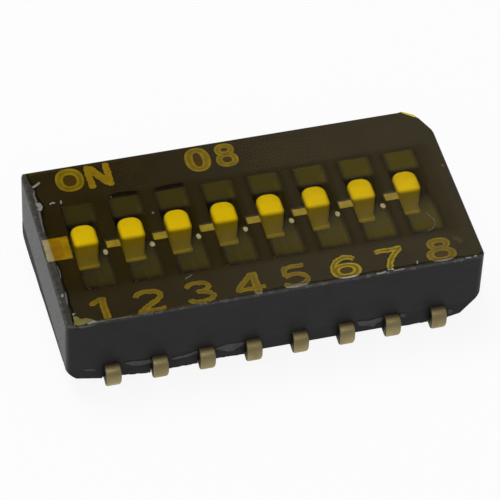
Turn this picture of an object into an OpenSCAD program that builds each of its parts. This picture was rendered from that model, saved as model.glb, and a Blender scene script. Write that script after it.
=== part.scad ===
// Sealed surface-mount DIP switch: a row of slide switches at half pitch, on J-shaped leads.
// It stands on its lead feet at z = 0, with the middle of the body over the origin.
// X runs along the row, +Y is the ON side and +Z is up. Every size is in millimetres.

/* [Switches] */
// Number of slide switches in the row
positions = 8; // [2:1:12]
// Spacing of the switches, and of the leads, along the body
pitch = 1.27; // [1.2:0.01:2.54]
// Travel of a slider from ON to OFF
travel = 1.26; // [0.8:0.02:1.4]
// Distance of the row of pockets from the body's centre line, towards the OFF side
row_shift = 0.15; // [0:0.01:0.25]

/* [Housing] */
// Distance from the outer switch's centre line to the body's end
end_margin = 1.205; // [1.15:0.005:2]
// Width of the body across the switches, without the leads
body_w = 5.7; // [5.3:0.05:8]
// Height of the base's underside above the board
standoff = 0.25; // [0.2:0.01:0.5]
// Thickness of the base
base_h = 0.5; // [0.45:0.01:1]
// Height of the cover
cover_h = 1.7; // [1.4:0.05:2.6]
// Radius of the housing's upright corners
corner_r = 0.18; // [0.05:0.01:0.4]
// Bevel around the cover's top edge
top_bevel = 0.04; // [0.02:0.01:0.1]
// Depth of the undercut along the base's long sides
undercut_d = 0.04; // [0.03:0.01:0.2]
// Height of the undercut along the base's long sides
undercut_h = 0.2; // [0.05:0.01:0.25]
// Reach of the undercut beyond the outer leads' centre lines
undercut_reach = 0.26; // [0.25:0.01:0.4]

/* [Base ends] */
// Length of the sloping underside at each end of the base
slope_l = 0.95; // [0.7:0.01:1.2]
// Rise of the sloping underside at each end of the base
slope_h = 0.17; // [0.05:0.01:0.2]
// Length of the bevel that follows the slope, up to the base's end
nose_l = 0.25; // [0.1:0.01:0.4]
// Height that the bevel leaves upright below the parting line
nose_land = 0.08; // [0.02:0.01:0.15]
// Length of the taller bevel at the body's end with larger X
far_bevel_l = 0.55; // [0.3:0.01:0.6]
// Height that the taller bevel reaches above the parting line
far_bevel_h = 0.27; // [0.05:0.01:0.4]

/* [Corner cut of the cover] */
// Length of the cut along the cover's back
cut_x = 0.72; // [0.5:0.01:0.8]
// Length of the cut along the cover's end
cut_y = 0.95; // [0.6:0.01:1.1]
// Distance of the cut's knee from the cover's end
knee_x = 0.25; // [0.1:0.01:0.35]
// Distance of the cut's knee from the cover's back
knee_y = 0.37; // [0.1:0.01:0.45]

/* [Pockets of the cover] */
// Width of the window around a knob, at the cover's top
window_w = 0.88; // [0.8:0.01:0.95]
// Depth of the window's wide upper part
window_d = 0.29; // [0.1:0.01:0.5]
// Room between a slider's foot and the pocket's end, at either end of the travel
pocket_end = 0.42; // [0.1:0.01:0.5]
// Thickness of the pocket's floor
floor_t = 0.2; // [0.1:0.01:0.3]
// Height of the room for the moving contacts, under the pocket's floor
contact_room = 0.35; // [0.28:0.01:0.6]

/* [Sliders] */
// Width of a knob at its top
knob_top_w = 0.68; // [0.5:0.01:0.72]
// Width of a knob at its root
knob_root_w = 0.62; // [0.4:0.01:0.66]
// Length of a knob along its travel
knob_l = 0.84; // [0.5:0.01:0.9]
// Radius of a knob's two corners on the ON side
knob_r = 0.23; // [0.05:0.01:0.25]
// Depth of a knob's top below the cover's top
knob_recess = 0.25; // [0:0.01:0.5]
// Width of a slider's foot
foot_w = 0.68; // [0.6:0.01:0.7]
// Length of a slider's foot along its travel
foot_len = 0.94; // [0.9:0.01:1.1]
// Thickness of a slider's foot
foot_t = 0.06; // [0.04:0.01:0.12]
// Width of the neck that passes through the pocket's floor
neck_w = 0.36; // [0.28:0.01:0.4]
// Length of the neck along its travel
neck_l = 0.6; // [0.45:0.01:0.8]
// Width of the stake that holds the moving contact
stake_w = 0.2; // [0.12:0.01:0.24]
// Length of the stake along its travel
stake_l = 0.36; // [0.2:0.01:0.4]
// Overhang of the stake's head all round, under the moving contact
stake_lip = 0.06; // [0.03:0.01:0.08]
// Thickness of the stake's head
stake_head = 0.05; // [0.03:0.01:0.06]

/* [Moving contacts] */
// Width of a moving contact
clip_w = 0.8; // [0.6:0.01:0.85]
// Thickness of a moving contact
clip_t = 0.06; // [0.04:0.01:0.08]
// Length of a moving contact's flat plate
clip_plate_l = 0.84; // [0.7:0.01:1]
// Distance between the contact points at the two ends
contact_span = 1.3; // [1.2:0.01:1.5]
// Radius of the rolled end that touches the fixed contact
bead_r = 0.05; // [0.04:0.01:0.07]
// Width of the slit that divides each arm into two fingers
slit_w = 0.1; // [0.05:0.01:0.2]
// Metal between the stake's hole and the slit
slit_root = 0.12; // [0.05:0.01:0.2]

/* [Leads] */
// Thickness of a lead
lead_t = 0.15; // [0.1:0.01:0.18]
// Width of a lead outside the housing
lead_w = 0.44; // [0.3:0.01:0.5]
// Reach of a lead beyond the body's side
lead_reach = 0.25; // [0.22:0.01:0.6]
// Inside radius of a lead's upper bend
bend_r = 0.07; // [0.03:0.01:0.1]
// Inside radius of a lead's lower bend
hook_r = 0.15; // [0.08:0.01:0.2]
// Length of a lead's foot under the body, from the lead's outer face
foot_l = 0.75; // [0.5:0.01:1]
// Width of the fixed contact at a lead's inner end
pad_w = 0.8; // [0.6:0.01:0.9]
// Lap of a fixed contact under the contact point beside the gap
pad_lap = 0.08; // [0.04:0.01:0.15]
// Length of a fixed contact beyond the last contact point, up to the narrow lead
pad_over = 0.2; // [0.1:0.01:0.3]

/* [Locating pegs] */
// Diameter of the pegs that locate the cover on the base
peg_d = 0.24; // [0.15:0.01:0.28]
// Height of a peg
peg_h = 0.6; // [0.3:0.01:0.9]
// Distance of the pegs from the body's long sides
peg_edge = 1.15; // [0.8:0.01:1.5]
// Wall between a peg's hole and the outer contact room
peg_wall = 0.1; // [0.05:0.01:0.12]

/* [Seal film] */
// Thickness of the film
film_t = 0.05; // [0.03:0.01:0.1]
// Bare strip in front of the film
film_front = 0.08; // [0:0.01:0.3]
// Bare strip behind the film, at its torn end
film_back = 0.1; // [0:0.01:0.2]
// Bare strip behind the film, at its other end
film_back_far = 0.06; // [0:0.01:0.1]
// Bare strip beyond the film's straight end
film_end = 0.07; // [0:0.01:0.2]
// Greatest depth of the tear at the film's torn end, from the body's end
tear_d = 0.35; // [0.2:0.01:0.6]
// Overhang of the film at the cover's corner cut
film_over = 0.04; // [0:0.01:0.1]

/* [Clearances] */
// Play at each side of a slider's foot and neck
side_play = 0.03; // [0.02:0.01:0.06]
// Least gap that stays between a slider and its pocket when it lies to one side
least_gap = 0.01; // [0.01:0.005:0.02]
// Gap between the neck and the slot's end, at either end of the travel
slot_end = 0.03; // [0.02:0.01:0.1]
// Gap between a slider's foot and the pocket's floor, and between a contact and its fixed contact
run_gap = 0.01; // [0.01:0.005:0.03]
// Gap between a moving contact's plate and the pocket's floor above it
plate_gap = 0.02; // [0.01:0.005:0.05]
// Gap between a moving contact and the walls of its room
room_gap = 0.1; // [0.05:0.01:0.15]
// Gap between a moving contact's end and its room's end, at either end of the travel
room_end = 0.09; // [0.05:0.01:0.2]
// Gap around the stake in the moving contact's hole
stake_gap = 0.01; // [0.005:0.005:0.02]
// Gap around a peg in its hole
peg_gap = 0.02; // [0.01:0.01:0.04]
// Room above a peg in its hole
peg_room = 0.1; // [0.05:0.01:0.3]

/* [Hidden] */
$fn = 48;
big = 1;
body_l = (positions - 1) * pitch + 2 * end_margin;
part_z = standoff + base_h;
top_z = part_z + cover_h;
roof_z = part_z + contact_room;
floor_z = roof_z + floor_t;
foot_z = floor_z + run_gap;
knob_z = top_z - knob_recess;
plate_z = roof_z - plate_gap - clip_t;
bead_z = part_z + run_gap + bead_r;
pocket_w = foot_w + 2 * side_play;
pocket_l = foot_len + travel + 2 * pocket_end;
slot_w = neck_w + 2 * side_play;
slot_l = neck_l + travel + 2 * slot_end;
room_w = clip_w + 2 * room_gap;
room_l = contact_span + 2 * bead_r + travel + 2 * room_end;
side_rest = side_play - least_gap;
on_y = travel / 2 - row_shift;
off_y = on_y - travel;
lead_y = body_w / 2 + lead_reach;
peg_x = body_l / 2 - end_margin + room_w / 2 + peg_wall + peg_gap + peg_d / 2;
peg_y = body_w / 2 - peg_edge;

// The film's torn end: share of the film's width from its front edge, and share of the tear's depth
tear = [
    [1, 0.43], [0.94, 0.54], [0.9, 0.77], [0.85, 0.66], [0.77, 1], [0.74, 0.74], [0.65, 0.57], [0.56, 0.57],
    [0.42, 0.66], [0.34, 0.83], [0.27, 0.71], [0.19, 0.83], [0.12, 0.69], [0.09, 0.83], [0.05, 0.63], [0, 0.57]
];

function lane_x(i) = (i - (positions + 1) / 2) * pitch;

// The body's plan with its upright corners rounded
module plan() {
    square([body_l - 2 * corner_r, body_w], center = true);
    square([body_l, body_w - 2 * corner_r], center = true);
    for (x = [-1, 1], y = [-1, 1])
        translate([x * (body_l / 2 - corner_r), y * (body_w / 2 - corner_r)])
            circle(corner_r);
}

// A block centred on a point in plan, from z0 up to z1
module block(w, l, z0, z1) {
    translate([-w / 2, -l / 2, z0])
        cube([w, l, z1 - z0]);
}

// A profile drawn in Y and Z, carried along X over the width w
module across(w) {
    translate([-w / 2, 0, 0])
        rotate([90, 0, 90])
            linear_extrude(w)
                children();
}

// A quarter of a bend of strip, about c, on the side given by the signs sx and sy
module bend(c, r, t, sx, sy) {
    translate(c)
        intersection() {
            difference() {
                circle(r + t);
                circle(r);
            }
            scale([sx, sy])
                square(r + t);
        }
}

// A lead's inner part in plan: the fixed contact from y0 to y1 and the narrow strip on to y2
module pad_plan(y0, y1, y2) {
    translate([-pad_w / 2, min(y0, y1)])
        square([pad_w, abs(y1 - y0)]);
    translate([-lead_w / 2, min(y1, y2)])
        square([lead_w, abs(y2 - y1)]);
}

// The front leads' inner part in plan, out to y_out from the centre line
module front_plan(y_out) {
    pad_plan(on_y - contact_span / 2 + pad_lap, off_y - contact_span / 2 - pad_over, -y_out);
}

// The rear leads' inner part in plan, out to y_out from the centre line
module rear_plan(y_out) {
    pad_plan(on_y + contact_span / 2 - pad_lap, on_y + contact_span / 2 + pad_over, y_out);
}

// The J-shaped outer part of a lead, for the side of the body with larger Y
module hook() {
    across(lead_w) {
        translate([body_w / 2 - lead_t, part_z - lead_t])
            square([lead_y - bend_r - body_w / 2, lead_t]);
        bend([lead_y - lead_t - bend_r, part_z - lead_t - bend_r], bend_r, lead_t, 1, 1);
        translate([lead_y - lead_t, lead_t + hook_r])
            square([lead_t, part_z - 2 * lead_t - bend_r - hook_r]);
        bend([lead_y - lead_t - hook_r, lead_t + hook_r], hook_r, lead_t, 1, -1);
        translate([lead_y - foot_l, 0])
            square([foot_l - lead_t - hook_r, lead_t]);
    }
}

// Base: the lower housing that holds the leads
module base() {
    color("#1d1d1d")
        difference() {
            union() {
                translate([0, 0, standoff])
                    linear_extrude(base_h)
                        plan();
                for (x = [-1, 1], y = [-1, 1])
                    translate([x * peg_x, y * peg_y, part_z - lead_t])
                        cylinder(h = lead_t + peg_h, d = peg_d);
            }
            for (y = [-1, 1])
                translate([0, y * (body_w / 2 - undercut_d + big / 2), 0])
                    block(2 * (lane_x(positions) + undercut_reach), big, 0, standoff + undercut_h);
            near_relief();
            far_relief();
            for (i = [1 : positions])
                translate([lane_x(i), 0, part_z - lead_t])
                    linear_extrude(big) {
                        front_plan(body_w);
                        rear_plan(body_w);
                    }
        }
}

// What the base's underside lacks at the end with smaller X
module near_relief() {
    e = -body_l / 2;
    rotate([90, 0, 0])
        linear_extrude(body_w + big, center = true)
            polygon([
                [e + slope_l, standoff], [e + nose_l, standoff + slope_h], [e, part_z - nose_land],
                [e - big, part_z - nose_land], [e - big, standoff - big], [e + slope_l, standoff - big]
            ]);
}

// What the housing's underside lacks at the end with larger X
module far_relief() {
    e = body_l / 2;
    knee_z = standoff + slope_h * (slope_l - far_bevel_l) / (slope_l - nose_l);
    rotate([90, 0, 0])
        linear_extrude(body_w + big, center = true)
            polygon([
                [e - slope_l, standoff], [e - far_bevel_l, knee_z], [e, part_z + far_bevel_h],
                [e + big, part_z + far_bevel_h], [e + big, standoff - big], [e - slope_l, standoff - big]
            ]);
}

// Cover: the upper housing with a stepped pocket and a slot for each slider
module cover() {
    color("#2b2a28")
        difference() {
            translate([0, 0, part_z])
                linear_extrude(cover_h)
                    difference() {
                        plan();
                        corner_cut();
                    }
            top_bevels();
            far_relief();
            for (i = [1 : positions])
                translate([lane_x(i), -row_shift, 0])
                    pocket();
            for (x = [-1, 1], y = [-1, 1])
                translate([x * peg_x, y * peg_y, part_z - big])
                    cylinder(h = big + peg_h + peg_room, d = peg_d + 2 * peg_gap);
        }
}

// The cut at the cover's corner with larger X and Y, in plan
module corner_cut() {
    e = body_l / 2;
    w = body_w / 2;
    polygon([
        [e - cut_x, w], [e - knee_x, w - knee_y], [e, w - cut_y],
        [e + big, w - cut_y], [e + big, w + big], [e - cut_x, w + big]
    ]);
}

// Wedges that bevel the cover's four top edges
module top_bevels() {
    for (y = [-1, 1])
        translate([0, y * body_w / 2, top_z])
            rotate([45, 0, 0])
                cube([body_l + big, top_bevel * sqrt(2), top_bevel * sqrt(2)], center = true);
    for (x = [-1, 1])
        translate([x * body_l / 2, 0, top_z])
            rotate([0, 45, 0])
                cube([top_bevel * sqrt(2), body_w + big, top_bevel * sqrt(2)], center = true);
}

// All that is cut out of the cover for one slider
module pocket() {
    block(window_w, pocket_l, top_z - window_d, top_z + big);
    block(pocket_w, pocket_l, floor_z, top_z);
    block(slot_w, slot_l, roof_z - run_gap, floor_z + run_gap);
    block(room_w, room_l, part_z - big, roof_z);
}

// Film that seals the pockets, torn at one end
module seal_film() {
    e = body_l / 2;
    w = body_w / 2;
    far = w - film_back_far;
    color("#c98a12", 0.5)
        translate([0, 0, top_z])
            linear_extrude(film_t)
                polygon(concat(
                    [
                        [e - film_end, film_front - w], [e - film_end, w - cut_y],
                        [e - knee_x + film_over / 2, w - knee_y + film_over], [e - cut_x, far]
                    ],
                    [for (p = tear) [p[1] * tear_d - e, film_front - w + p[0] * (body_w - film_front - film_back)]]
                ));
}

// Slider in its ON position: knob, foot, neck through the floor, and stake under it
module slider() {
    color("#f2efe4")
        translate([side_rest, on_y, 0]) {
            intersection() {
                translate([0, 0, foot_z])
                    linear_extrude(knob_z - foot_z)
                        knob_plan();
                rotate([90, 0, 0])
                    linear_extrude(2 * knob_l, center = true)
                        polygon([
                            [-knob_root_w / 2, foot_z], [knob_root_w / 2, foot_z],
                            [knob_top_w / 2, knob_z], [-knob_top_w / 2, knob_z]
                        ]);
            }
            block(foot_w, foot_len, foot_z, foot_z + foot_t);
            block(neck_w, neck_l, plate_z + clip_t, foot_z);
            block(stake_w, stake_l, plate_z, plate_z + clip_t);
            block(stake_w + 2 * stake_lip, stake_l + 2 * stake_lip, plate_z - stake_head, plate_z);
        }
}

// A knob in plan, with the two corners on the ON side rounded
module knob_plan() {
    translate([-knob_top_w / 2, -knob_l / 2])
        square([knob_top_w, knob_l - knob_r]);
    translate([knob_r - knob_top_w / 2, -knob_l / 2])
        square([knob_top_w - 2 * knob_r, knob_l]);
    for (x = [-1, 1])
        translate([x * (knob_top_w / 2 - knob_r), knob_l / 2 - knob_r])
            circle(knob_r);
}

// Outline of a moving contact's sprung arm, from the plate out to the rolled end and back
function arm() =
    let (
        a = [clip_plate_l / 2, plate_z + clip_t / 2],
        b = [contact_span / 2, bead_z],
        d = (b - a) / norm(b - a),
        n = [-d[1], d[0]] * clip_t / 2,
        corner = ([0, clip_t / 2] + n) / (1 + d[0])
    )
    [a + corner, b + n, b - n, a - corner];

// Points mirrored to the other side of the vertical axis, in the order that closes an outline
function mirrored(points) = [for (i = [len(points) - 1 : -1 : 0]) [-points[i][0], points[i][1]]];

// Moving contact in its ON position: a plate with two sprung arms, each divided into two fingers
module contact() {
    slit_y = stake_l / 2 + stake_gap + slit_root;
    color("#b9974a")
        translate([side_rest, on_y, 0])
            difference() {
                union() {
                    across(clip_w)
                        polygon(concat(arm(), mirrored(arm())));
                    for (y = [-1, 1])
                        translate([0, y * contact_span / 2, bead_z])
                            rotate([0, 90, 0])
                                cylinder(h = clip_w, r = bead_r, center = true);
                }
                for (y = [-1, 1])
                    translate([0, y * (slit_y + big), 0])
                        block(slit_w, 2 * big, 0, top_z);
                block(stake_w + 2 * stake_gap, stake_l + 2 * stake_gap, 0, top_z);
            }
}

// Front lead, with the fixed contact that a slider's contact always touches
module front_lead() {
    color("#9c8a5e") {
        mirror([0, 1, 0])
            hook();
        translate([0, 0, part_z - lead_t])
            linear_extrude(lead_t)
                front_plan(body_w / 2);
    }
}

// Rear lead, with the fixed contact that is reached only in the ON position
module rear_lead() {
    color("#9c8a5e") {
        hook();
        translate([0, 0, part_z - lead_t])
            linear_extrude(lead_t)
                rear_plan(body_w / 2);
    }
}

base();
cover();
seal_film();
for (i = [1 : positions])
    translate([lane_x(i), 0, 0]) {
        slider();
        contact();
        front_lead();
        rear_lead();
    }
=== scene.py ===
import math
import random

import bpy
from mathutils import Matrix, Vector
from mathutils.geometry import delaunay_2d_cdt


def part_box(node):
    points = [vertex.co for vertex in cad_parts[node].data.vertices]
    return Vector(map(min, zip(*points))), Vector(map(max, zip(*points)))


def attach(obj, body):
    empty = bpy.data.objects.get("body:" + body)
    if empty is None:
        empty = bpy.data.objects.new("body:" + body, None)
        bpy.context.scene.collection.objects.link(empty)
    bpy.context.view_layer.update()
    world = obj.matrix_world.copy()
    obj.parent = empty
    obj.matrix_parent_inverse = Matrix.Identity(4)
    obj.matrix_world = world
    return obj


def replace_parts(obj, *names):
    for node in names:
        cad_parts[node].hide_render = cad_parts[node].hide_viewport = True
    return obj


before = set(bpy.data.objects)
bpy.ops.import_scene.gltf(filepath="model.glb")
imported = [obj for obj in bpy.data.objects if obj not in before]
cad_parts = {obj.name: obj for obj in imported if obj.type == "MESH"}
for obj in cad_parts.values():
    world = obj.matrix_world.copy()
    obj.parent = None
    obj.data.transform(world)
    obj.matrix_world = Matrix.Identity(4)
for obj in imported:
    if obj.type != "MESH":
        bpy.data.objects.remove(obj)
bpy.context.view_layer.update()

# The looks of a sealed DIP switch. Lengths are in millimetres, and MM turns them into metres.
MM = 0.001

# ---------------------------------------------------------------- places, from the CAD
HALF_L, HALF_W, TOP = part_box("cover")[1] / MM
FILM_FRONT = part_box("seal_film")[0].y / MM
FILM_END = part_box("seal_film")[1].x / MM
LANES = [sum(v.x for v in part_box(f"front_lead_{i}")) / 2 / MM for i in range(1, 9)]
PITCH = LANES[1] - LANES[0]
# The far and near ends of the pockets, and the two ends of their row
BACK = 1.37
FRONT = -1.67
ROW_LEFT = LANES[0] - 0.5
ROW_RIGHT = LANES[-1] + 0.5
# The film's underside, top and back edge
FILM_UNDER = TOP + 0.006
FILM_Z = TOP + 0.036
FILM_BACK = HALF_W - 0.1


# ---------------------------------------------------------------- node helpers
class Net:
    """A node tree, with short ways to add and join nodes."""

    def __init__(self, owner, output="ShaderNodeOutputMaterial"):
        self.owner = owner
        owner.use_nodes = True
        self.tree = owner.node_tree
        self.tree.nodes.clear()
        self.out = self.tree.nodes.new(output)

    def add(self, kind, sockets=None, **props):
        n = self.tree.nodes.new(kind)
        for k, v in props.items():
            setattr(n, k, v)
        for k, v in (sockets or {}).items():
            self.put(n.inputs[k], v)
        return n

    def put(self, socket, value):
        """Joins a socket to another one, or sets its value."""
        if isinstance(value, bpy.types.NodeSocket):
            self.tree.links.new(value, socket)
        else:
            socket.default_value = value

    def place(self, stretch=(1, 1, 1)):
        """The object's own coordinates in millimetres, stretched along each axis."""
        co = self.add("ShaderNodeTexCoord").outputs["Object"]
        scale = tuple(s / MM for s in stretch)
        return self.add("ShaderNodeMapping", {"Vector": co, "Scale": scale}).outputs[0]

    def axes(self):
        return self.add("ShaderNodeSeparateXYZ", {"Vector": self.place()}).outputs[:3]

    def noise(self, scale, detail=2.0, rough=0.5, warp=0.0, stretch=(1, 1, 1)):
        """Noise with about scale features to the millimetre."""
        return self.add("ShaderNodeTexNoise", {
            "Vector": self.place(stretch), "Scale": scale, "Detail": detail, "Roughness": rough,
            "Distortion": warp}).outputs["Fac"]

    def span(self, value, lo, hi, to_lo=0.0, to_hi=1.0):
        """A value that goes from to_lo to to_hi as the given one goes from lo to hi, and no further."""
        return self.add("ShaderNodeMapRange", {
            "Value": value, "From Min": lo, "From Max": hi, "To Min": to_lo, "To Max": to_hi}).outputs[0]

    def math(self, op, *values):
        """The values joined by one operation, two at a time."""
        total = values[0]
        for v in values[1:]:
            n = self.add("ShaderNodeMath", operation=op)
            self.put(n.inputs[0], total)
            self.put(n.inputs[1], v)
            total = n.outputs[0]
        return total

    def times(self, *values):
        return self.math("MULTIPLY", *values)

    def plus(self, *values):
        return self.math("ADD", *values)

    def most(self, *values):
        return self.math("MAXIMUM", *values)

    def mix(self, fac, a, b):
        """Colour a where fac is 0, and colour b where it is 1."""
        n = self.add("ShaderNodeMix", data_type="RGBA")
        self.put(n.inputs["Factor"], fac)
        for k, v in (("A", a), ("B", b)):
            s = [x for x in n.inputs if x.name == k and x.type == "RGBA"][0]
            self.put(s, v if isinstance(v, bpy.types.NodeSocket) else (*v, 1))
        return [x for x in n.outputs if x.type == "RGBA"][0]

    def bump(self, height, depth, strength=1.0, normal=None):
        """A normal bent by a height from 0 to 1, which stands for the depth in millimetres."""
        n = self.add("ShaderNodeBump", {"Height": height, "Strength": strength, "Distance": depth * MM})
        if normal is not None:
            self.put(n.inputs["Normal"], normal)
        return n.outputs[0]

    def principled(self, **sockets):
        named = {k.replace("_", " "): v for k, v in sockets.items()}
        return self.add("ShaderNodeBsdfPrincipled", named).outputs[0]

    def clear(self, tint=(1, 1, 1, 1)):
        return self.add("ShaderNodeBsdfTransparent", {"Color": tint}).outputs[0]

    def blend(self, fac, a, b):
        """Surface a where fac is 0, and surface b where it is 1."""
        return self.add("ShaderNodeMixShader", {0: fac, 1: a, 2: b}).outputs[0]

    def finish(self, surface):
        self.tree.links.new(surface, self.out.inputs["Surface"])
        return self.owner


def material(name):
    return Net(bpy.data.materials.new(name))


def scaled(shade, k):
    return tuple(c * k for c in shade)


# ---------------------------------------------------------------- outline helpers
def arc(cx, cy, rx, ry, n=40, power=0.88):
    """Points on an ellipse; power under 1 squares its corners."""
    out = []
    for k in range(n + 1):
        c, s = math.cos(math.tau * k / n), math.sin(math.tau * k / n)
        x = cx + rx * math.copysign(abs(c) ** power, c)
        out.append((x, cy + ry * math.copysign(abs(s) ** power, s)))
    return out


def smooth_path(points, n=8):
    """A Catmull-Rom curve through the points."""
    def between(a, b, c, d, t):
        slope, bend, twist = c - a, 2 * a - 5 * b + 4 * c - d, 3 * b - a - 3 * c + d
        return 0.5 * (2 * b + slope * t + bend * t * t + twist * t ** 3)

    p = [points[0], *points, points[-1]]
    out = [tuple(between(a[i], b[i], c[i], d[i], k / n) for i in (0, 1))
           for a, b, c, d in zip(p, p[1:], p[2:], p[3:]) for k in range(n)]
    return out + [points[-1]]


def ribbon(points, width):
    """The outline of the strip of that width along a path."""
    left, right = [], []
    for k, (x, y) in enumerate(points):
        a, b = points[max(0, k - 1)], points[min(len(points) - 1, k + 1)]
        dx, dy = b[0] - a[0], b[1] - a[1]
        h = width / 2 / math.hypot(dx, dy)
        left.append((x - dy * h, y + dx * h))
        right.append((x + dy * h, y - dx * h))
    return nipped(right + left[::-1], width / 4)


STRAIGHT = 0.6


def nipped(points, r):
    """An outline with each corner that turns by more than STRAIGHT radians cut back by r."""
    out = []
    for p, q, s in zip(points[-1:] + points, points, points[1:] + points[:1]):
        a, b = Vector(p) - Vector(q), Vector(s) - Vector(q)
        if abs(math.pi - a.angle(b)) < STRAIGHT:
            out.append(q)
        else:
            for v in (a, b):
                w = Vector(q) + v * min(r / v.length, 0.45)
                out.append((w.x, w.y))
    return out


def rough_edge(points, amount, seed, step=0.05, closed=True):
    """An outline with its edges wandering a little, as a worn or torn edge does."""
    rnd = random.Random(seed)
    out = []
    for a, b in zip(points, points[1:] + points[:1] if closed else points[1:]):
        n = max(1, int(math.dist(a, b) / step))
        for t in (k / n for k in range(n)):
            out.append((a[0] + (b[0] - a[0]) * t + rnd.uniform(-amount, amount),
                        a[1] + (b[1] - a[1]) * t + rnd.uniform(-amount, amount)))
    return out


def box(x0, y0, x1, y1):
    return [(x0, y0), (x1, y0), (x1, y1), (x0, y1)]


def turn_area(p):
    """Twice the area inside an outline, negative where it runs clockwise."""
    return sum(a[0] * b[1] - b[0] * a[1] for a, b in zip(p, p[1:] + p[:1]))


# ---------------------------------------------------------------- mesh helpers
def link_mesh(name, verts, faces, materials, body="housing"):
    """A new piece, from points in millimetres. It rides on the body."""
    me = bpy.data.meshes.new(name)
    me.from_pydata([tuple(c * MM for c in v) for v in verts], [], faces)
    me.validate()
    me.update()
    ob = bpy.data.objects.new(name, me)
    bpy.context.scene.collection.objects.link(ob)
    for m in materials:
        me.materials.append(m)
    if body:
        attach(ob, body)
    return ob


def in_plan(x, y, z):
    """A sheet's own x, y and z, for a sheet that lies flat."""
    return (x, y, z)


def on_front(x, y, z):
    """For a sheet on the front face: x stays, y becomes height, and z the distance out."""
    return (x, -HALF_W - z, y)


def on_left(x, y, z):
    """For a sheet on the left end: x becomes the way to the front, y height, and z the distance out."""
    return (-HALF_L - z, -x, y)


def sheet(name, patches, z0, z1, materials, place=in_plan):
    """One thin piece over all the patches. Three materials are its top, its sides and its underside."""
    verts, faces = [], []
    for p in patches:
        p = p if turn_area(p) > 0 else p[::-1]
        faces.append(list(range(len(verts), len(verts) + len(p))))
        verts += [Vector(q) for q in p]
    vs, _, tris, _, _, source = delaunay_2d_cdt(verts, [], faces, 1, 1e-5)
    tris = [t if turn_area([tuple(vs[k]) for k in t]) > 0 else t[::-1]
            for t, s in zip(tris, source) if s]
    n = len(vs)
    edges = {(a, b) for t in tris for a, b in zip(t, t[1:] + t[:1])}
    out = [place(v.x, v.y, z1) for v in vs] + [place(v.x, v.y, z0) for v in vs]
    faces = [list(t) for t in tris] + [[n + k for k in t[::-1]] for t in tris]
    faces += [[b, a, n + a, n + b] for a, b in edges if (b, a) not in edges]
    ob = link_mesh(name, out, faces, materials)
    if len(materials) == 3:
        for p in ob.data.polygons:
            p.material_index = 0 if p.normal.z > 0.5 else 2 if p.normal.z < -0.5 else 1
    return ob


# ---------------------------------------------------------------- materials
# What lies on the black plastic: dust at the left end, which also stands for painted light there, and the
# dull, rubbed and bruised parts of the top, whose rubbed edges also carry a painted highlight
LEFT_END_DUST_AND_LIGHT = (0.04, 0.039, 0.037)
MARGIN = (0.05, 0.047, 0.039)
RUBBED_AND_SHEEN = (0.075, 0.07, 0.073)
BRUISED = (0.24, 0.23, 0.22)


def black_plastic(name, shade, rough, gloss, wear=None):
    """Black moulded housing: fine grain, faint dust, hairline scratches and rubbed edges with a painted
    highlight, and a lighter left end from dust and painted light.
    """
    n = material(name)
    cloud = n.noise(1.3, 4, 0.6)
    fine = n.noise(16, 5, 0.65)
    grain = n.noise(45, 3, 0.6)
    hair = n.noise(3.2, 6, 0.7, 0.8, (1.2, 9, 5))
    col = n.mix(n.span(cloud, 0.35, 0.68), scaled(shade, 0.8), scaled(shade, 1.25))
    dust = n.times(n.span(fine, 0.56, 0.72), n.span(cloud, 0.4, 0.6, 0.25, 0.8), 0.35)
    pale = tuple(c * 2.6 + 0.004 for c in shade)
    col = n.mix(dust, col, pale)
    scratch = n.span(hair, 0.655, 0.7)
    col = n.mix(n.times(scratch, 0.25), col, scaled(pale, 1.3))
    if wear:
        col = wear(n, col, fine)
    normals = n.add("ShaderNodeTexCoord").outputs["Normal"]
    side = n.add("ShaderNodeSeparateXYZ", {"Vector": normals}).outputs[0]
    # Faces turned to the left end are lighter: dust, and painted light on that end
    at_left_end = n.span(side, -0.6, -0.9)
    col = n.mix(n.times(at_left_end, n.span(cloud, 0.3, 0.7, 0.6, 1.0)), col, LEFT_END_DUST_AND_LIGHT)
    r = n.plus(n.span(fine, 0.3, 0.7, rough - 0.07, rough + 0.1), n.times(scratch, 0.1))
    normal = n.bump(grain, 0.004, 0.5, n.bump(fine, 0.006, 0.5, n.bump(cloud, 0.02, 0.4)))
    return n.finish(n.principled(
        Base_Color=col, Roughness=r, Normal=normal, IOR=1.5, Specular_IOR_Level=gloss))


def cover_wear(n, col, fine):
    """The bare margins round the film, dulled by handling, and the top edges, rubbed and lightened by a
    painted highlight.
    """
    x, y, z = n.axes()
    patchy = n.noise(4.5, 4, 0.65)
    top = n.span(z, TOP - 0.07, TOP - 0.005)
    # The margins
    left = n.span(x, -HALF_L + 0.24, -HALF_L + 0.2)
    front = n.times(n.span(y, -HALF_W + 0.12, -HALF_W + 0.09), 0.5)
    back = n.times(n.span(y, HALF_W - 0.14, HALF_W - 0.1), n.span(x, -2.0, -5.0), 0.8)
    bare = n.most(left, front, back)
    col = n.mix(n.times(bare, top, n.span(patchy, 0.35, 0.6, 0.45, 1.0)), col, MARGIN)
    # The top edges: rubbed, and lightened along the bevel as a painted highlight, most towards the right end
    front = n.times(n.span(y, -HALF_W + 0.075, -HALF_W + 0.03), n.span(x, -4.5, 5.5, 0.4, 1.0))
    back = n.times(n.span(y, HALF_W - 0.07, HALF_W - 0.02), 0.35)
    left = n.times(n.span(x, -HALF_L + 0.09, -HALF_L + 0.03), 0.7)
    rim = n.times(n.most(front, back, left), top)
    col = n.mix(n.times(rim, n.span(fine, 0.36, 0.56), 0.75), col, RUBBED_AND_SHEEN)
    bruise = n.times(rim, n.span(patchy, 0.52, 0.6), n.span(fine, 0.42, 0.6), 0.7)
    return n.mix(bruise, col, BRUISED)


KNOB_WHITE = (0.66, 0.61, 0.54), (0.73, 0.68, 0.61)
KNOB_LOW_TONE = (0.6, 0.55, 0.46)


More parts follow.
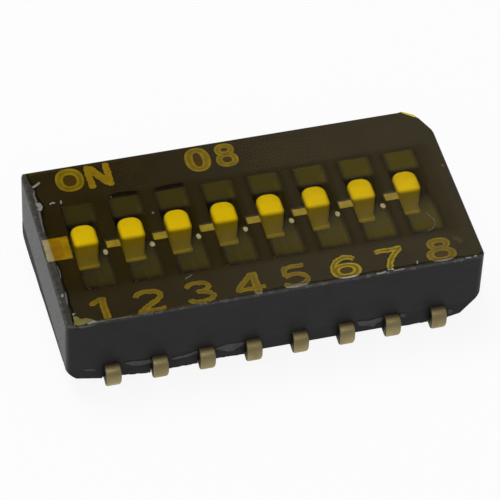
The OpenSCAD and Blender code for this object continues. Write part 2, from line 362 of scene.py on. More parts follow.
def knob_plastic():
    """White moulded knob: slight clouding, smooth faces, and a darker, greyer tone in patches low down."""
    n = material("knob_white")
    z = n.axes()[2]
    cloud = n.noise(2.5, 3, 0.5)
    fine = n.noise(28, 4, 0.6)
    col = n.mix(n.span(cloud, 0.3, 0.7), *KNOB_WHITE)
    # Darker and greyer towards the bottom, in patches
    dark_tone = n.times(n.span(z, TOP - 0.45, TOP - 0.95), n.span(fine, 0.35, 0.7, 0.0, 0.25))
    col = n.mix(dark_tone, col, KNOB_LOW_TONE)
    r = n.span(fine, 0.3, 0.7, 0.38, 0.5)
    normal = n.bump(fine, 0.004, 0.6, n.bump(cloud, 0.02, 0.4))
    return n.finish(n.principled(Base_Color=col, Roughness=r, Normal=normal, IOR=1.5))


def dull_metal(name, light, dark, rough):
    """Plated spring metal, dulled: soft stains, faint streaks along the strip and fine pits."""
    n = material(name)
    streak = n.noise(1.6, 4, 0.55, 0.0, (9, 1.2, 1.2))
    stain = n.noise(1.7, 3, 0.5, 0.5)
    fine = n.noise(26, 4, 0.6)
    col = n.mix(n.span(stain, 0.34, 0.68), light, dark)
    col = n.mix(n.span(streak, 0.5, 0.8, 0.0, 0.35), col, scaled(dark, 0.6))
    col = n.mix(n.span(fine, 0.62, 0.75, 0.0, 0.3), col, scaled(dark, 0.4))
    # The upper part of a lead, under the cover's edge, is darkened: painted shade from the housing
    col = n.mix(n.span(n.axes()[2], 0.25, 0.6, 0.0, 0.9), col, scaled(dark, 0.5))
    r = n.plus(n.span(stain, 0.3, 0.7, rough - 0.06, rough + 0.1), n.span(fine, 0.3, 0.7, -0.04, 0.06))
    normal = n.bump(fine, 0.003, 0.4, n.bump(streak, 0.004, 0.4))
    return n.finish(n.principled(Base_Color=col, Roughness=r, Normal=normal, Metallic=0.8))


PINHOLE = (0.04, 0.037, 0.03)


def ink(name, shade):
    """White pad-printed ink: thin, mottled, with pinholes where the black shows."""
    n = material(name)
    cloud = n.noise(3.6, 4, 0.6)
    fine = n.noise(22, 4, 0.7)
    col = n.mix(n.span(cloud, 0.35, 0.65), scaled(shade, 0.75), scaled(shade, 1.15))
    col = n.mix(n.times(n.span(fine, 0.58, 0.7), 0.5), col, PINHOLE)
    normal = n.bump(fine, 0.002, 0.6)
    return n.finish(n.principled(
        Base_Color=col, Roughness=0.6, Normal=normal, IOR=1.45, Specular_IOR_Level=0.2))


def residue(name, shade, gloss=0.3):
    """Rubbed plastic, dust and flux that stuck to the housing; the same finish also serves for painted
    shadows and highlights.
    """
    n = material(name)
    cloud = n.noise(5, 4, 0.65)
    fine = n.noise(26, 4, 0.7)
    col = n.mix(n.span(cloud, 0.35, 0.65), scaled(shade, 0.6), shade)
    col = n.mix(n.span(fine, 0.5, 0.7, 0, 0.5), col, scaled(shade, 1.5))
    normal = n.bump(fine, 0.01, 0.8)
    return n.finish(n.principled(
        Base_Color=col, Roughness=0.65, Normal=normal, IOR=1.45, Specular_IOR_Level=gloss))


# The tint of one face of the film, so the colour of the film is its square
FACE_TINT = (0.978, 0.9, 0.22)
# The film's haze over its stuck parts, over a pocket's floor and over the foot of a knob; the haze in front
# of a knob also lightens the shaded pocket and knob as painted light
HAZE_STUCK = (0.4, 0.355, 0.26)
HAZE_FLOOR = (0.42, 0.335, 0.06)
HAZE_AND_LIGHT_OVER_FOOT = (0.42, 0.34, 0.105)
SHINE = (0.33, 0.305, 0.26, 1)


def amber_film(name, veiled):
    """One side of the clear amber film. The top side, which is veiled, also has haze and gloss."""
    n = material(name)
    wave = n.noise(0.9, 3, 0.5)
    tint = n.mix(n.span(wave, 0.3, 0.7), FACE_TINT, tuple(c ** 1.1 for c in FACE_TINT))
    clear = n.clear(tint)
    if not veiled:
        return n.finish(clear)
    x, y = n.axes()[:2]
    fine = n.noise(9, 4, 0.6)
    scratch = n.span(n.noise(3.0, 6, 0.7, 0.6, (6, 1.1, 1)), 0.66, 0.7)
    # Over each pocket the film is slack and hazy, behind the knob and in front of it; in front it also stands
    # for painted light on the shaded pocket and the knob's lower front.
    # The phase is the distance from the nearest lane's middle line.
    phase = n.math("PINGPONG", n.math("SUBTRACT", x, LANES[0]), PITCH / 2)
    row = n.times(n.span(x, ROW_LEFT, ROW_LEFT + 0.1), n.span(x, ROW_RIGHT, ROW_RIGHT - 0.1))
    behind = n.times(n.span(y, 0.6, 0.75), n.span(y, BACK, BACK - 0.06))
    before = n.times(n.span(y, FRONT - 0.02, FRONT + 0.14), n.span(y, -0.3, -1.0))
    slack = n.times(n.most(behind, before), n.span(phase, 0.47, 0.33), row)
    # Off the pockets it lies on the cover, and its adhesive is greyer towards the straight end
    strip = n.span(y, FRONT + 0.1, FRONT - 0.2)
    far_strip = n.span(y, BACK - 0.1, BACK + 0.2)
    between = n.span(phase, 0.4, PITCH / 2, 0.0, 0.7)
    stuck = n.most(strip, far_strip, n.span(x, 4.9, 5.4), between)
    haze = n.plus(
        n.times(stuck, n.span(x, -4.0, 1.5, 0.01, 0.05)),
        n.times(strip, n.span(x, 0.0, 2.0, 0.012, 0.0)),
        n.times(slack, n.span(x, -5, 3, 0.055, 0.12)),
        n.span(x, -1.0, 5.5, 0.0, 0.02),
        n.times(scratch, stuck, 0.03),
        n.span(fine, 0.5, 0.8, 0.0, 0.015))
    # A whiter spot of haze beside each knob, over each printed bar: partly lifted film, partly a painted
    # highlight where the film crosses the rib's edge
    bar = n.times(n.span(phase, 0.42, 0.45), n.span(y, -0.36, -0.33), n.span(y, -0.05, -0.08), row)
    haze = n.plus(haze, n.times(bar, n.span(x, -4, 4, 0.04, 0.08)))
    # Over the knob's foot the haze is less yellow: painted light on the shaded foot
    over_foot = n.times(n.span(y, -1.42, -1.3), n.span(y, 0.3, 0.1))
    pocket = n.mix(over_foot, HAZE_FLOOR, HAZE_AND_LIGHT_OVER_FOOT)
    veil = n.add("ShaderNodeBsdfDiffuse", {"Color": n.mix(slack, HAZE_STUCK, pocket)}).outputs[0]
    normal = n.bump(wave, 0.05, 0.5)
    gloss = {"Color": SHINE, "Roughness": 0.28, "Normal": normal}
    shine = n.add("ShaderNodeBsdfGlossy", gloss).outputs[0]
    rim = n.add("ShaderNodeFresnel", {"IOR": 1.14, "Normal": normal}).outputs[0]
    return n.finish(n.blend(rim, n.blend(haze, clear, veil), shine))


def film_edge():
    """The film's cut edge, where the adhesive holds dirt: deeper amber, without gloss."""
    n = material("film_cut_edge")
    fine = n.noise(14, 4, 0.6)
    clear = n.clear((0.8, 0.6, 0.12, 1))
    dark_tone = n.mix(fine, (0.1, 0.07, 0.03), (0.17, 0.14, 0.08))
    dirt = n.principled(Base_Color=dark_tone, Roughness=0.8, Specular_IOR_Level=0.1)
    return n.finish(n.blend(n.span(fine, 0.3, 0.7, 0.3, 0.6), clear, dirt))


cover_mat = black_plastic("cover_black", (0.0098, 0.0096, 0.0096), 0.44, 0.17, cover_wear)
cover_top_mat = black_plastic("cover_black_top", (0.0125, 0.0105, 0.009), 0.55, 0.03, cover_wear)
base_mat = black_plastic("base_black", (0.0078, 0.0078, 0.0078), 0.5, 0.17)
knob_mat = knob_plastic()
lead_mat = dull_metal("lead_plating", (0.39, 0.315, 0.145), (0.29, 0.232, 0.103), 0.42)
# The sides of the leads: bare cut edges, darkened further as painted shade
lead_edge_mat = dull_metal("lead_cut_edge_and_shade", (0.07, 0.055, 0.028), (0.04, 0.031, 0.016), 0.55)
# The contacts are tarnished, and darkened further as painted shade deep in the pockets
contact_mat = dull_metal("contact_tarnish_and_shade", (0.02, 0.016, 0.008), (0.011, 0.009, 0.005), 0.6)
film_mats = [amber_film("film_amber", True), film_edge(), amber_film("film_amber_under", False)]
print_mat = ink("print_white", (0.24, 0.21, 0.15))
bar_mat = ink("print_bar", (0.32, 0.31, 0.25))
big_mat = ink("print_outline", (0.225, 0.21, 0.16))
core_mat = ink("print_thin", (0.15, 0.14, 0.1))
digit_mat = ink("print_digits", (0.2, 0.185, 0.145))
digit_core_mat = ink("print_digits_thin", (0.14, 0.125, 0.085))
late_mat = ink("print_late_digits", (0.36, 0.36, 0.28))
pooled_mat = ink("adhesive_pooled", (0.028, 0.016, 0.003))
dirt_and_shadow_mat = residue("film_dirt_and_shadow", (0.009, 0.007, 0.004), 0.0)
end_mat = ink("print_end", (0.275, 0.225, 0.105))
end_core_mat = ink("print_end_thin", (0.24, 0.165, 0.08))
scrap_mat = residue("rubbed_grey", (0.075, 0.075, 0.072))
# A dark band on the left end of the base: painted shadow
edge_mat = residue("base_end_shadow", (0.02, 0.02, 0.0195), 0.1)
speck_mat = residue("residue_pale", (0.24, 0.23, 0.2))
dull_mat = residue("residue_dull", (0.1, 0.093, 0.08))
patch_mat = residue("residue_yellow", (0.165, 0.15, 0.035), 0.15)
# Pale spots on the film: painted highlights
glint_mat = residue("film_painted_glint", (0.34, 0.29, 0.13))


# ---------------------------------------------------------------- CAD nodes
def dress(ob, materials, pick=None):
    """Gives a CAD node its materials. The second one goes on the faces that pick says."""
    ob.data.materials.clear()
    for m in materials:
        ob.data.materials.append(m)
    for p in ob.data.polygons:
        p.material_index = int(bool(pick and pick(ob.data, p)))


def on_top_or_in_pocket(me, p):
    vs = [me.vertices[k].co / MM for k in p.vertices]
    flat = all(v.z > TOP - 0.001 for v in vs)
    inner = all(abs(v.x) < ROW_RIGHT and FRONT - 0.1 < v.y < BACK + 0.1 for v in vs)
    return flat or inner


for name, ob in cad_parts.items():
    if name == "cover":
        dress(ob, [cover_mat, cover_top_mat], on_top_or_in_pocket)
    elif name == "base":
        dress(ob, [base_mat])
    elif name.startswith("slider"):
        dress(ob, [knob_mat])
    elif name.startswith("contact"):
        dress(ob, [contact_mat])
    elif "lead" in name:
        dress(ob, [lead_mat])
    else:
        dress(ob, film_mats[:1])


# ---------------------------------------------------------------- knobs and leads, with rounded edges
def loft(name, rings, materials, body):
    """A closed skin over rings of equal numbers of points, flat at its two ends."""
    n = len(rings[0])
    faces = [[k * n + a, k * n + (a + 1) % n, (k + 1) * n + (a + 1) % n, (k + 1) * n + a]
             for k in range(len(rings) - 1) for a in range(n)]
    end = (len(rings) - 1) * n
    faces += [list(range(n))[::-1], list(range(end, end + n))]
    ob = link_mesh(name, [v for r in rings for v in r], faces, materials, body)
    ob.data.shade_smooth()
    ob.data.set_sharp_from_angle(angle=math.radians(35))
    return ob


def rounded(cx, cy, hx, hy, near, far, n=6):
    """Points round a rectangle of half sizes hx and hy; near and far are the radii of its corners."""
    out = []
    for k, (sx, sy, r) in enumerate(((-1, -1, near), (1, -1, near), (1, 1, far), (-1, 1, far))):
        for a in (math.radians(180 + 90 * k + 90 * j / n) for j in range(n + 1)):
            x = cx + sx * (hx - r) + r * math.cos(a)
            out.append((x, cy + sy * (hy - r) + r * math.sin(a)))
    return out


KNOB_RIM = 0.1
# How far below the knob's top its foot's top is, and the foot's thickness
FOOT_DROP = 0.83
FOOT_T = 0.06
# How high the tops of the stake's head and shank stand over the slider's lowest point
STAKE_HEAD = 0.05
STAKE_SHANK = 0.11
SMALL_R = 0.01


def knob(i):
    """A slider: its stake, neck and foot as moulded, and its knob with a rolled rim."""
    lo, hi = (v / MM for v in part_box(f"slider_{i}"))
    mid, half = (lo + hi) / 2, (hi - lo) / 2
    head, shank = lo.z + STAKE_HEAD, lo.z + STAKE_SHANK
    foot_top = hi.z - FOOT_DROP
    foot = foot_top - FOOT_T
    # Height, half width, distance in from the near and far ends, near and far corner radii
    steps = [(lo.z, 0.16, 0.23, 0.23, SMALL_R, SMALL_R), (head, 0.16, 0.23, 0.23, SMALL_R, SMALL_R),
             (head, 0.1, 0.29, 0.29, SMALL_R, SMALL_R), (shank, 0.1, 0.29, 0.29, SMALL_R, SMALL_R),
             (shank, 0.18, 0.36, 0.17, SMALL_R, SMALL_R), (foot, 0.18, 0.36, 0.17, SMALL_R, SMALL_R),
             (foot, half.x, 0.06, 0, 0.02, 0.02), (foot_top, half.x, 0.07, 0, 0.02, 0.02),
             (foot_top, half.x - 0.028, 0.12, 0.05, 0.08, 0.22)]
    for a in (math.radians(15 * k) for k in range(7)):
        d = KNOB_RIM * (1 - math.cos(a))
        z = hi.z - KNOB_RIM * (1 - math.sin(a))
        steps.append((z, half.x - d, 0.12 + d, 0.05 + d, 0.12 - d, 0.28 - d))
    rings = []
    for z, hx, near, far, near_r, far_r in steps:
        y, hy = mid.y + (near - far) / 2, half.y - (near + far) / 2
        rings.append([(px, py, z) for px, py in rounded(mid.x, y, hx, hy, near_r, far_r)])
    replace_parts(loft(f"knob_{i}", rings, [knob_mat], f"switch_{i}"), f"slider_{i}")


STRIP_T = 0.15
EDGE_R = 0.06
# Outer radii of the bend at the housing and of the bend at the foot, and the foot's reach
BEND_R = 0.22
HOOK_R = 0.3
FOOT_REACH = 0.75
# Half widths of the strip outside the housing and at its foot
NARROW = 0.22
FOOT = 0.185


def lead(node, side, shoulder):
    """A lead of flat strip with rolled edges: its wide inner end, and the J outside, narrow at its foot."""
    lo, hi = (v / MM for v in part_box(node))
    inner, outer = sorted((side * lo.y, side * hi.y))
    x, high, wide = (lo.x + hi.x) / 2, hi.z - STRIP_T / 2, (hi.x - lo.x) / 2

    def bend(centre_z, r, angles, widths):
        for a, w in zip(angles, widths):
            c, s = math.cos(math.radians(a)), math.sin(math.radians(a))
            line.append((outer - r + (r - STRIP_T / 2) * c, centre_z + (r - STRIP_T / 2) * s, a, w))

    # Distance out, height, the way the strip's outer face looks, half width
    line = [(inner, high, 90, wide), (shoulder, high, 90, wide), (shoulder, high, 90, NARROW)]
    bend(hi.z - BEND_R, BEND_R, range(90, -1, -15), [NARROW] * 7)
    bend(HOOK_R, HOOK_R, range(0, -91, -10), [NARROW + (FOOT - NARROW) * k / 9 for k in range(10)])
    line.append((outer - FOOT_REACH, STRIP_T / 2, -90, FOOT))
    rings = []
    for u, z, a, w in line:
        c, s = math.cos(math.radians(a)), math.sin(math.radians(a))
        section = rounded(0, 0, w, STRIP_T / 2, EDGE_R, EDGE_R, 4)
        ring = [(x + px, side * (u + d * c), z + d * s) for px, d in section]
        rings.append(ring if side < 0 else ring[::-1])
    ob = loft(f"{node}_strip", rings, [lead_mat, lead_edge_mat], "housing")
    # The strip's sides take the darker material: cut edges and painted shade
    for p in ob.data.polygons:
        p.material_index = int(abs(p.normal.x) > 0.8)
    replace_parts(ob, node)


# A lead's wide inner end reaches further out on the front side than on the rear side
for i in range(1, 9):
    knob(i)
    lead(f"front_lead_{i}", -1, 1.63)
    lead(f"rear_lead_{i}", 1, 1.33)

# ---------------------------------------------------------------- seal film
# The torn end: share of the film's width from its front edge, and share of the tear's depth
TEAR = [(1, 0.43), (0.94, 0.54), (0.9, 0.77), (0.85, 0.66), (0.77, 1), (0.74, 0.74), (0.65, 0.57),
        (0.56, 0.57), (0.42, 0.66), (0.34, 0.83), (0.27, 0.71), (0.19, 0.83), (0.12, 0.69),
        (0.09, 0.83), (0.05, 0.63), (0, 0.57)]
TEAR_D = 0.35
# The front edge wanders: X, and distance behind the film's foremost line
FRONT_EDGE = [(-5.2, 0.0), (-3.3, -0.02), (-2.0, -0.02), (-0.5, 0.03), (0.6, 0.075), (1.2, 0.04),
              (2.0, 0.04), (3.1, 0.05), (4.5, 0.06), (5.2, 0.03), (5.48, 0.02)]
# The way round the corner cut: distances from the cover's right end and from its back
KNEE = [(0.27, 0.4), (0.36, 0.25), (0.55, 0.115), (0.68, 0.05), (0.76, 0.075)]


def torn(points, out=0.0):
    """Points of the torn end, in plan, moved right by out."""
    return [(TEAR_D * t - HALF_L + out, FILM_FRONT + (FILM_BACK - FILM_FRONT) * s) for s, t in points]


def film_outline():
    edge = smooth_path([(x, FILM_FRONT + d) for x, d in FRONT_EDGE])
    right = [(FILM_END, FILM_FRONT + 0.1), (FILM_END, HALF_W - 0.98)]
    knee = [(HALF_L - dx, HALF_W - dy) for dx, dy in KNEE]
    back = [(HALF_L - 1.1, FILM_BACK + 0.01), (0, FILM_BACK + 0.005)]
    return edge + right + knee + back + rough_edge(torn(TEAR), 0.01, 3, 0.06, closed=False)


film = sheet("film", [film_outline()], FILM_UNDER, FILM_Z, film_mats)
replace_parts(film, "seal_film")


# ---------------------------------------------------------------- print
def path(points, width):
    """A printed stroke along a path, rough at its edges. It is called with the share of its width to draw."""
    seed = round(1000 * width)
    return lambda share: [rough_edge(ribbon(points, width * share), 0.018, seed, 0.06)]


def curve(points, width):
    return path(smooth_path(points), width)


def loop(x, y, rx, ry, hole_x, hole_y, rise=0.0):
    """A printed closed ring, whose hole may sit a little higher or lower than its outline."""
    def patches(share):
        t = (1 - share) / 2
        outer = arc(x, y + rise * t, rx + (hole_x - rx) * t, ry + (hole_y - ry) * t)
        inner = arc(x, y + rise * (1 - t), hole_x + (rx - hole_x) * t, hole_y + (ry - hole_y) * t)
        return [[a, b, c, d] for a, b, c, d in zip(outer, outer[1:], inner[1:], inner)]
    return patches


# Name: material, share of the width where the ink is thin, strokes
GLYPHS = {
    "O": (big_mat, 0.34, [loop(-4.41, 2.315, 0.385, 0.425, 0.185, 0.21, -0.02)]),
    "N": (print_mat, 0, [
        path([(-3.865, 2.73), (-3.865, 1.87)], 0.19),
        path([(-3.355, 2.73), (-3.355, 1.87)], 0.18),
        path([(-3.84, 2.66), (-3.38, 1.94)], 0.24)]),
    "0": (big_mat, 0.34, [loop(-0.885, 2.29, 0.35, 0.445, 0.12, 0.265)]),
    "8": (big_mat, 0.3, [
        loop(-0.10, 2.50, 0.27, 0.235, 0.10, 0.07),
        loop(-0.10, 2.12, 0.305, 0.265, 0.125, 0.11)]),
    "1": (digit_mat, 0.42, [
        path([(-4.53, -2.0), (-4.53, -2.78)], 0.19),
        path([(-4.89, -2.2), (-4.74, -2.15), (-4.58, -2.03)], 0.13)]),
    "2": (digit_mat, 0.42, [
        curve([(-3.68, -2.23), (-3.6, -2.11), (-3.35, -2.07), (-3.08, -2.14), (-3.03, -2.29),
               (-3.2, -2.45), (-3.45, -2.58), (-3.62, -2.73)], 0.15),
        path([(-3.73, -2.74), (-2.97, -2.72)], 0.14)]),
    "3": (digit_mat, 0.42, [
        curve([(-2.32, -2.2), (-2.22, -2.1), (-2.0, -2.07), (-1.77, -2.13), (-1.73, -2.25),
               (-1.85, -2.35), (-2.08, -2.38)], 0.13),
        curve([(-2.08, -2.38), (-1.82, -2.42), (-1.67, -2.56), (-1.76, -2.68), (-2.0, -2.735),
               (-2.24, -2.69), (-2.31, -2.6)], 0.145)]),
    "4": (digit_mat, 0.42, [
        path([(-0.5, -2.02), (-0.5, -2.8)], 0.2),
        path([(-1.07, -2.585), (-0.27, -2.585)], 0.13),
        path([(-0.52, -2.05), (-0.78, -2.3), (-1.02, -2.56)], 0.14)]),
    "5": (digit_mat, 0.42, [
        path([(0.3, -2.075), (0.87, -2.075)], 0.13),
        path([(0.345, -2.05), (0.3, -2.4)], 0.14),
        curve([(0.29, -2.4), (0.5, -2.34), (0.75, -2.38), (0.87, -2.55), (0.75, -2.69),
               (0.52, -2.74), (0.32, -2.71), (0.22, -2.64)], 0.14)]),
    "6": (late_mat, 0.36, [
        loop(1.925, -2.53, 0.405, 0.265, 0.175, 0.115, 0.01),
        curve([(2.22, -2.17), (2.12, -2.09), (1.93, -2.07), (1.72, -2.18), (1.6, -2.38),
               (1.59, -2.55)], 0.15)]),
    "7": (late_mat, 0.36, [
        path([(2.8, -2.065), (3.56, -2.065)], 0.15),
        curve([(3.5, -2.07), (3.28, -2.27), (3.12, -2.52), (3.06, -2.78)], 0.165)]),
    "8b": (digit_mat, 0.36, [
        loop(4.545, -2.15, 0.32, 0.215, 0.125, 0.065, -0.02),
        loop(4.525, -2.53, 0.41, 0.245, 0.195, 0.115, 0.01)]),
}
PRINT_LO, PRINT_HI = TOP - 0.001, TOP + 0.0035


def printed(name, patches, mat, level=0):
    """Ink on the cover; a higher level lies over a lower one. The record's white plastic stands for ink."""
    return sheet(name, patches, PRINT_LO, PRINT_HI + 0.001 * level, [mat])


for key, (mat, thin, strokes) in GLYPHS.items():
    printed(f"print_{key}", [p for s in strokes for p in s(1)], mat)
    if thin:
        core = digit_core_mat if mat is digit_mat else core_mat
        printed(f"print_{key}_thin", [p for s in strokes for p in s(thin)], core, 1)

# Adhesive pooled inside the closed strokes: centre and half sizes
POOLS = [(-4.41, 2.315, 0.19, 0.21), (-0.885, 2.29, 0.13, 0.27), (-0.10, 2.50, 0.105, 0.075),
         (-0.10, 2.12, 0.13, 0.115), (-0.72, -2.42, 0.2, 0.11), (1.925, -2.53, 0.18, 0.12),
         (4.545, -2.15, 0.13, 0.07), (4.525, -2.53, 0.2, 0.12)]
for k, pool in enumerate(POOLS, 1):
    sheet(f"pool_{k}", [arc(*pool)], PRINT_LO, PRINT_LO + 0.002, [pooled_mat])

# A bar between each two knobs, and a pale spot to the right of each knob, not quite in line: the spot is a
# painted highlight on the film
GLINT_OFF = [(0.005, 0.005), (-0.005, 0.01), (-0.02, 0.0), (-0.02, -0.02), (-0.02, 0.005),
             (-0.035, -0.04), (-0.045, -0.02)]
for k, (a, b, off) in enumerate(zip(LANES, LANES[1:], GLINT_OFF), 1):
    c = (a + b) / 2
    printed(f"bar_{k}", [rough_edge(box(c - 0.17, -0.33, c + 0.19, -0.095), 0.007, 20 + k)], bar_mat)
    spot = rough_edge(arc(a + 0.37 + off[0], -0.5 + off[1], 0.065, 0.095, 10, 1.0), 0.008, 40 + k)
    sheet(f"glint_{k}", [spot], FILM_Z, FILM_Z + 0.004, [glint_mat])

# The mark at the left end of the row, and where its ink is thin
MARK = box(-HALF_L + 0.045, -0.48, -4.93, 0.32)
MARK_THIN = box(-5.4, -0.38, -5.13, 0.22)
printed("end_mark", [rough_edge(MARK, 0.01, 60)], end_mat)
printed("end_mark_thin", [rough_edge(MARK_THIN, 0.02, 61)], end_core_mat, 1)

# ---------------------------------------------------------------- wear: flash, specks, residue
# Torn flash at the parting line between the leads: outlines in X and height
FLASH = {
    "flash_1": [(-4.12, 0.7), (-3.94, 0.73), (-3.7, 0.69), (-3.48, 0.675), (-3.34, 0.7),
                (-3.34, 0.56), (-3.5, 0.53), (-3.67, 0.5), (-3.83, 0.55), (-3.99, 0.61)],
    "flash_2": [(-2.86, 0.57), (-2.67, 0.6), (-2.45, 0.61), (-2.24, 0.67), (-2.13, 0.67),
                (-2.16, 0.59), (-2.34, 0.55), (-2.5, 0.52), (-2.67, 0.51), (-2.8, 0.5)],
    "flash_3": [(-1.66, 0.65), (-1.48, 0.72), (-1.32, 0.74), (-1.1, 0.723), (-0.87, 0.714),
                (-0.9, 0.6), (-1.04, 0.536), (-1.175, 0.443), (-1.31, 0.438), (-1.5, 0.544)],
    "flash_6": [(2.21, 0.718), (2.38, 0.724), (2.57, 0.682), (2.76, 0.713), (2.95, 0.712),
                (2.88, 0.587), (2.75, 0.53), (2.67, 0.39), (2.59, 0.463), (2.47, 0.5), (2.28, 0.558)],
    "flash_7": [(3.41, 0.74), (3.46, 0.74), (3.58, 0.69), (3.55, 0.58), (3.44, 0.586), (3.41, 0.624)],
    "flash_8": [(4.735, 0.558), (4.816, 0.585), (4.893, 0.498), (4.873, 0.403), (4.776, 0.387)],
}
for k, (name, outline) in enumerate(FLASH.items()):
    rough = rough_edge(outline, 0.012, 80 + k)
    sheet(name, [rough], -0.004, 0.012, [scrap_mat], on_front)

# Dark skin of plastic that hangs below the base between the leads: X range, and height at its two ends
SKIN = {
    "skin_1": (-4.2, -3.4, 0.235, 0.13),
    "skin_2": (-2.93, -2.13, 0.165, 0.17),
    "skin_3": (-1.66, -0.86, 0.23, 0.21),
    "skin_7": (3.42, 4.2, 0.22, 0.21),
}
SKIN_TOP = 0.44
for k, (name, (a, b, za, zb)) in enumerate(SKIN.items()):
    hem = rough_edge([(a, za), (b, zb)], 0.012, 90 + k, 0.06, closed=False)
    outline = hem + [(b, zb), (b, SKIN_TOP), (a, SKIN_TOP)]
    sheet(name, [outline], -0.045, -0.004, [base_mat], on_front)

# A dark band low on the base's left end, deepest at the back: painted shadow. Its points: way to the front,
# and height
HEM = [(-2.7, 0.74), (-2.67, 0.36), (-2.57, 0.275), (-2.37, 0.25), (-1.7, 0.275), (-1.0, 0.37),
       (-0.47, 0.385), (0.2, 0.48), (0.77, 0.52), (1.39, 0.59), (2.0, 0.635), (2.4, 0.675),
       (2.4, 0.7), (0.5, 0.71), (-1.3, 0.74)]
sheet("end_shadow_band", [rough_edge(HEM, 0.006, 95)], -0.03, 0.005, [edge_mat], on_left)

SCRAPE = [(-5.19, 0.722), (-5.19, 0.69), (-5.06, 0.65), (-4.9, 0.61), (-4.9, 0.645), (-5.03, 0.7)]
sheet("scrape", [SCRAPE], -0.002, 0.003, [dull_mat], on_front)

# What stuck to the top, with a few painted shadows and highlights among it: material, width, path, and
# whether it lies on the film
SMEARS = {
    "speck_1": (speck_mat, 0.07, [(-5.44, 2.23), (-5.33, 2.28), (-5.22, 2.37)], True),
    "speck_2": (dull_mat, 0.06, [(-5.38, 2.14), (-5.45, 2.0), (-5.44, 1.75), (-5.46, 1.62)], False),
    "speck_3": (speck_mat, 0.15, [(-5.41, 1.66), (-5.375, 1.52), (-5.41, 1.38)], False),
    "speck_4": (dull_mat, 0.05, [(-5.44, 1.36), (-5.46, 1.2), (-5.47, 0.95), (-5.48, 0.6)], False),
    "speck_5": (speck_mat, 0.045, [(-5.13, 1.51), (-5.06, 1.56), (-4.98, 1.53)], True),
    "speck_6": (speck_mat, 0.05, [(-4.83, 1.47), (-4.81, 1.6)], True),
    "speck_7": (speck_mat, 0.06, [(-5.52, -1.77), (-5.48, -1.66)], False),
    "speck_8": (dull_mat, 0.035, [(-5.4, -0.65), (-5.385, -0.95), (-5.41, -1.1)], False),
    "speck_9": (dull_mat, 0.035, [(-5.4, -1.62), (-5.42, -1.85), (-5.44, -2.05)], False),
    "speck_10": (speck_mat, 0.05, [(-3.5, 1.42), (-3.46, 1.44)], True),
    "speck_11": (speck_mat, 0.045, [(-2.56, 0.62), (-2.5, 0.6)], True),
    "speck_12": (speck_mat, 0.04, [(3.79, -2.74), (3.82, -2.64)], True),
    "speck_13": (dull_mat, 0.03, [(-2.27, -1.9), (-2.06, -1.79)], True),
    "speck_14": (speck_mat, 0.05, [(5.5, 0.62), (5.53, 0.58)], False),
    "rub_1": (speck_mat, 0.05, [(2.66, -2.815), (2.78, -2.825), (2.92, -2.8)], False),
    "rub_2": (speck_mat, 0.035, [(3.12, -2.815), (3.3, -2.815), (3.42, -2.805)], False),
    "rub_3": (speck_mat, 0.045, [(5.1, -2.815), (5.18, -2.81), (5.25, -2.815)], False),
    "rub_4": (speck_mat, 0.05, [(5.34, -2.8), (5.42, -2.79)], False),
    "smear_1": (dull_mat, 0.06, [(-5.0, -2.8), (-4.8, -2.805), (-4.6, -2.8)], False),
    "smear_2": (dull_mat, 0.035, [(-4.5, -2.81), (-4.2, -2.815), (-3.9, -2.81)], False),
    "stain": (pooled_mat, 0.14, [(4.99, -2.02), (5.1, -2.1), (5.16, -2.25)], False),
    # Dark lines along the back edges of two pockets: painted shadow where the film lifts
    "gap_shadow_1": (dirt_and_shadow_mat, 0.09, [(-3.5, 1.45), (-3.27, 1.5), (-3.0, 1.49), (-2.75, 1.47)], True),
    "gap_shadow_2": (dirt_and_shadow_mat, 0.11, [(-2.28, 1.43), (-2.0, 1.46), (-1.74, 1.475), (-1.48, 1.48)], True),
    # A faint pale arc on the film near the last pocket: a painted highlight along a bubble's edge
    "ring": (dull_mat, 0.018, [
        (4.55, -1.05), (4.66, -1.25), (4.67, -1.45), (4.57, -1.6), (4.4, -1.68)], True),
}
for k, (name, (mat, width, points, raised)) in enumerate(SMEARS.items()):
    outline = rough_edge(ribbon(smooth_path(points, 4), width), width * 0.13, 100 + k, 0.04)
    z = FILM_Z if raised else TOP
    sheet(name, [outline], z - 0.001, z + 0.005 + 0.0005 * (k % 3), [mat])

# Residue on the film at the near left corner
PATCHES = {
    "patch_1": (patch_mat, [
        (-5.4, -2.5), (-5.43, -2.62), (-5.49, -2.76), (-5.43, -2.83), (-5.25, -2.84), (-5.0, -2.83),
        (-4.87, -2.78), (-5.0, -2.73), (-5.08, -2.62), (-5.18, -2.62), (-5.3, -2.56)]),
    "patch_2": (speck_mat, [(-5.1, -2.845), (-5.02, -2.8), (-4.86, -2.79), (-4.8, -2.84)]),
    "patch_3": (speck_mat, [(-5.4, -2.41), (-5.33, -2.45), (-5.37, -2.52), (-5.43, -2.48)]),
}
for k, (name, (mat, points)) in enumerate(PATCHES.items()):
    outline = rough_edge(points, 0.035, 130 + k, 0.06)
    sheet(name, [outline], FILM_Z - 0.001, FILM_Z + 0.002 + 0.002 * k, [mat])

# Dirt that hangs over the cover's front edge, near the same corner
HANGING = [(-5.36, 2.45), (-4.84, 2.45), (-4.92, 2.39), (-5.1, 2.365), (-5.28, 2.37)]
outline = rough_edge(HANGING, 0.008, 134, 0.04)
sheet("hanging_dirt", [outline], -0.002, 0.008, [dull_mat], on_front)

# Dark lines along the torn end, on each side of the end mark: dirt held by the adhesive, and the film edge's
# painted shadow
for k, part in enumerate((TEAR[:7] + [(0.575, 0.57)], [(0.41, 0.665)] + TEAR[9:]), 1):
    dirt = ribbon(torn(part, 0.012), 0.05)
    sheet(f"torn_edge_dirt_and_shadow_{k}", [dirt], FILM_Z - 0.001, FILM_Z + 0.003, [dirt_and_shadow_mat])


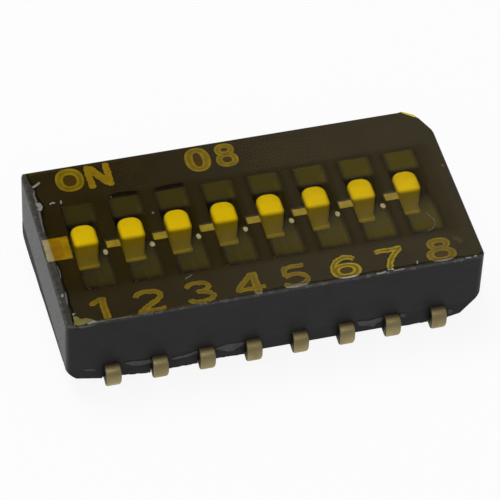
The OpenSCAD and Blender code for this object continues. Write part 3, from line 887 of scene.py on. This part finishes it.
# ---------------------------------------------------------------- floor and backdrop
def seen_white(n):
    """One where the camera, a gloss or a clear surface looks, so that the backdrop shows white there."""
    lp = n.add("ShaderNodeLightPath").outputs
    return n.most(lp["Is Camera Ray"], lp["Is Glossy Ray"], lp["Is Transmission Ray"])


def pale_floor():
    n = material("floor_pale")
    col = n.mix(n.noise(0.4, 3, 0.5), (0.79, 0.79, 0.79), (0.81, 0.81, 0.81))
    paint = n.principled(Base_Color=col, Roughness=0.9, Specular_IOR_Level=0.1)
    white = n.add("ShaderNodeEmission", {"Color": (1, 1, 1, 1), "Strength": 1.0}).outputs[0]
    top = n.blend(n.times(seen_white(n), 0.9), paint, white)
    # From below it is clear, so that the underside can be looked at
    from_below = n.add("ShaderNodeNewGeometry").outputs["Backfacing"]
    return n.finish(n.blend(from_below, top, n.clear()))


# A hair below the feet, so that no two faces lie in one plane
FLOOR_Z = -0.005
FLOOR_HALF = 400
corners = [(x, y, FLOOR_Z) for x, y in box(-FLOOR_HALF, -FLOOR_HALF, FLOOR_HALF, FLOOR_HALF)]
floor = link_mesh("floor", corners, [[0, 1, 2, 3]], [pale_floor()], body=None)

# The world's strength as light, and where it is seen
LIGHT, SEEN = 0.3, 1.0
world = bpy.data.worlds.new("studio")
bpy.context.scene.world = world
studio = Net(world, "ShaderNodeOutputWorld")
soft, white = (studio.add("ShaderNodeBackground", {0: (1, 1, 1, 1), 1: s}).outputs[0]
               for s in (LIGHT, SEEN))
studio.finish(studio.blend(seen_white(studio), soft, white))


# ---------------------------------------------------------------- lamps and camera
def lamp(name, place, size, watts):
    """A square soft lamp that looks at the origin. Its place and size are in metres."""
    data = bpy.data.lights.new(name, "AREA")
    data.shape = "SQUARE"
    data.size = size
    data.energy = watts
    ob = bpy.data.objects.new(name, data)
    bpy.context.scene.collection.objects.link(ob)
    ob.location = place
    ob.rotation_euler = (-Vector(place)).to_track_quat("-Z", "Y").to_euler()


lamp("key", (-0.05, 0.09, 0.23), 0.14, 0.4)
lamp("front", (-0.02, -0.18, 0.2), 0.1, 0.125)
lamp("fill", (-0.24, -0.09, 0.13), 0.2, 0.066)

# The camera looks at a point on the cover, from the front, a little from the left and above.
# Its distance is in metres.
TARGET = Vector((-0.353, -1.246, 2.45)) * MM
DISTANCE = 0.0865
FOCAL_LENGTH = 237.0
TURN, DOWN, ROLL = (math.radians(a) for a in (16.628, 46.946, 2.633))
forward = Vector((math.sin(TURN) * math.cos(DOWN), math.cos(TURN) * math.cos(DOWN), -math.sin(DOWN)))
level = Vector((math.cos(TURN), -math.sin(TURN), 0))
right = level * math.cos(ROLL) + level.cross(forward) * math.sin(ROLL)
pose = Matrix((right, right.cross(forward), -forward)).transposed().to_4x4()
pose.translation = TARGET - forward * DISTANCE
lens = bpy.data.cameras.new("camera")
lens.lens = FOCAL_LENGTH
lens.sensor_width = 36
lens.clip_start = MM
camera = bpy.data.objects.new("camera", lens)
bpy.context.scene.collection.objects.link(camera)
camera.matrix_world = pose
bpy.context.scene.camera = camera
bpy.context.scene.view_settings.view_transform = "Standard"
